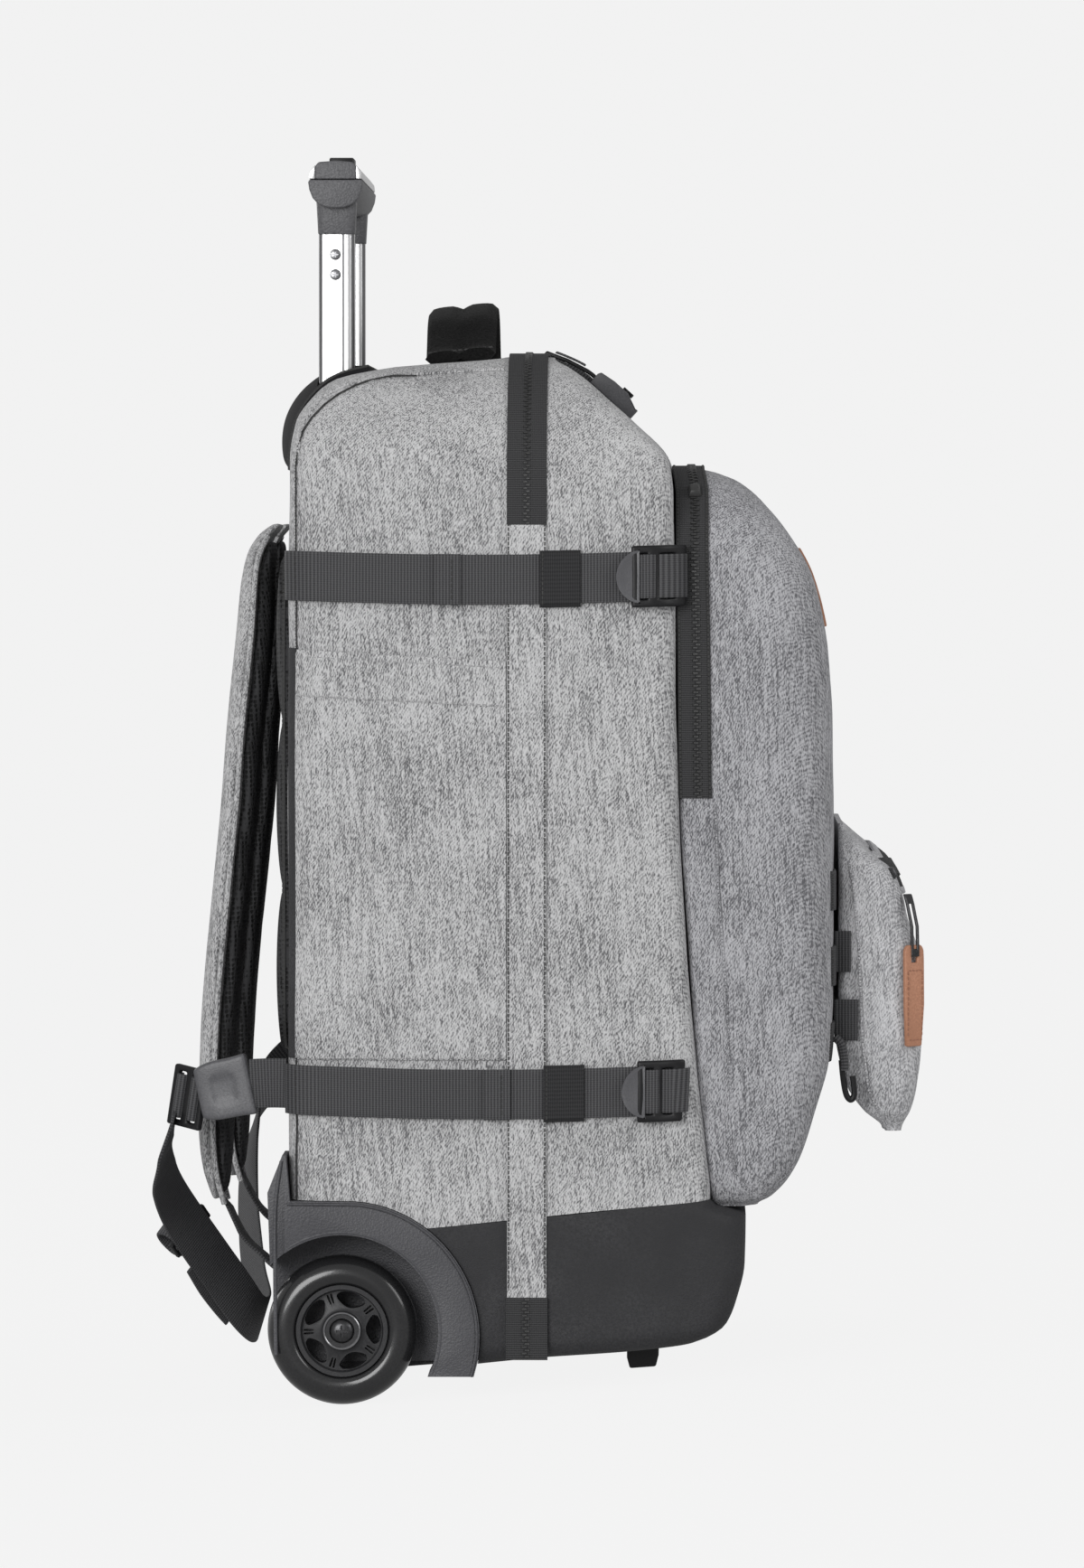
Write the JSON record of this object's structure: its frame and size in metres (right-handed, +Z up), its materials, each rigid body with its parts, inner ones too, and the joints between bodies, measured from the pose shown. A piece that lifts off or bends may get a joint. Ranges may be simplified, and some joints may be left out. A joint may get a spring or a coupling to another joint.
{
  "type": "wheeled backpack",
  "caption": "Upright wheeled backpack with padded shoulder straps, a waist belt, a sliding trolley handle, two inset wheels, a front pocket with a small pouch and side compression straps.",
  "frame": {"origin": "centre of the bounding box on the floor, on which the two wheels and two feet stand", "axes": "+X across the bag towards its own left hand side panel seen from the back, -Y towards the front pocket, +Z up; the bag leans 4.2 degrees forward as it stands"},
  "size_m": [0.3476, 0.4008, 0.6358],
  "materials": {
    "grey_cloth": "heather grey twill",
    "black_cloth": "coated charcoal cloth and zip tape",
    "mesh": "padded spacer mesh",
    "webbing": "ribbed black webbing",
    "leather": "smooth tan",
    "tyre": "glossy black urethane",
    "aluminium": "satin anodised",
    "steel": "dull nickel",
    "grey_plastic": "fine textured dark grey",
    "black_plastic": "satin black"
  },
  "bodies": {
    "bag": {"axle_left": "steel", "axle_right": "steel", "back_panel": "mesh", "base_tub": "black_cloth", "belt_anchor": "webbing", "belt_buckle": "grey_plastic", "belt_frame": "black_plastic", "belt_webbing": "webbing", "buckle_lower_left": "black_plastic", "buckle_lower_right": "black_plastic", "buckle_upper_left": "black_plastic", "buckle_upper_right": "black_plastic", "carry_handle": "webbing", "foot_left": "black_plastic", "foot_right": "black_plastic", "front_pocket": "grey_cloth", "front_zip": "black_cloth", "gusset_band_left": "grey_cloth", "gusset_band_right": "grey_cloth", "handle_cover": "black_cloth", "keeper_lower_left": "webbing", "keeper_lower_right": "webbing", "keeper_upper_left": "webbing", "keeper_upper_right": "webbing", "label": "leather", "lock_body": "grey_plastic", "lock_tongue": "black_plastic", "main_body": "grey_cloth", "main_zip": "black_cloth", "pouch": "grey_cloth", "pouch_band_lower": "webbing", "pouch_band_upper": "webbing", "pouch_hook": "black_plastic", "pouch_puller": "steel", "pouch_tab": "leather", "pouch_zip": "black_cloth", "shoulder_strap_left": "grey_cloth", "shoulder_strap_right": "grey_cloth", "side_pocket_left": "grey_cloth", "side_pocket_right": "grey_cloth", "strap_lower_left": "webbing", "strap_lower_right": "webbing", "strap_upper_left": "webbing", "strap_upper_right": "webbing", "strap_webbing_left": "webbing", "strap_webbing_right": "webbing", "trolley_guides": "aluminium", "webbing_row_1": "webbing", "webbing_row_2": "webbing", "webbing_row_3": "webbing", "wheel_housing_left": "grey_plastic", "wheel_housing_right": "grey_plastic"},
    "handle": {"tube_left": "aluminium", "tube_right": "aluminium", "handle_grip": "grey_plastic"},
    "button": {"grip_button": "black_plastic"},
    "wheel_left": {"tyre_left": "tyre", "hub_left": "black_plastic"},
    "wheel_right": {"tyre_right": "tyre", "hub_right": "black_plastic"}
  },
  "joints": [
    {"name": "handle_slide", "type": "slide", "parent": "bag", "child": "handle", "axis": [0, -0.0732, 0.9973], "range_m": [-0.062, 0.3]},
    {"name": "button_press", "type": "slide", "parent": "handle", "child": "button", "axis": [0, 0.0732, -0.9973], "range_m": [0, 0.003], "stiffness_N_per_m": 900},
    {"name": "wheel_left_spin", "type": "hinge", "parent": "bag", "child": "wheel_left", "pos_m": [-0.152, 0.10827, 0.038], "axis": [1, 0, 0], "continuous": true},
    {"name": "wheel_right_spin", "type": "hinge", "parent": "bag", "child": "wheel_right", "pos_m": [0.152, 0.10827, 0.038], "axis": [1, 0, 0], "continuous": true}
  ]
}
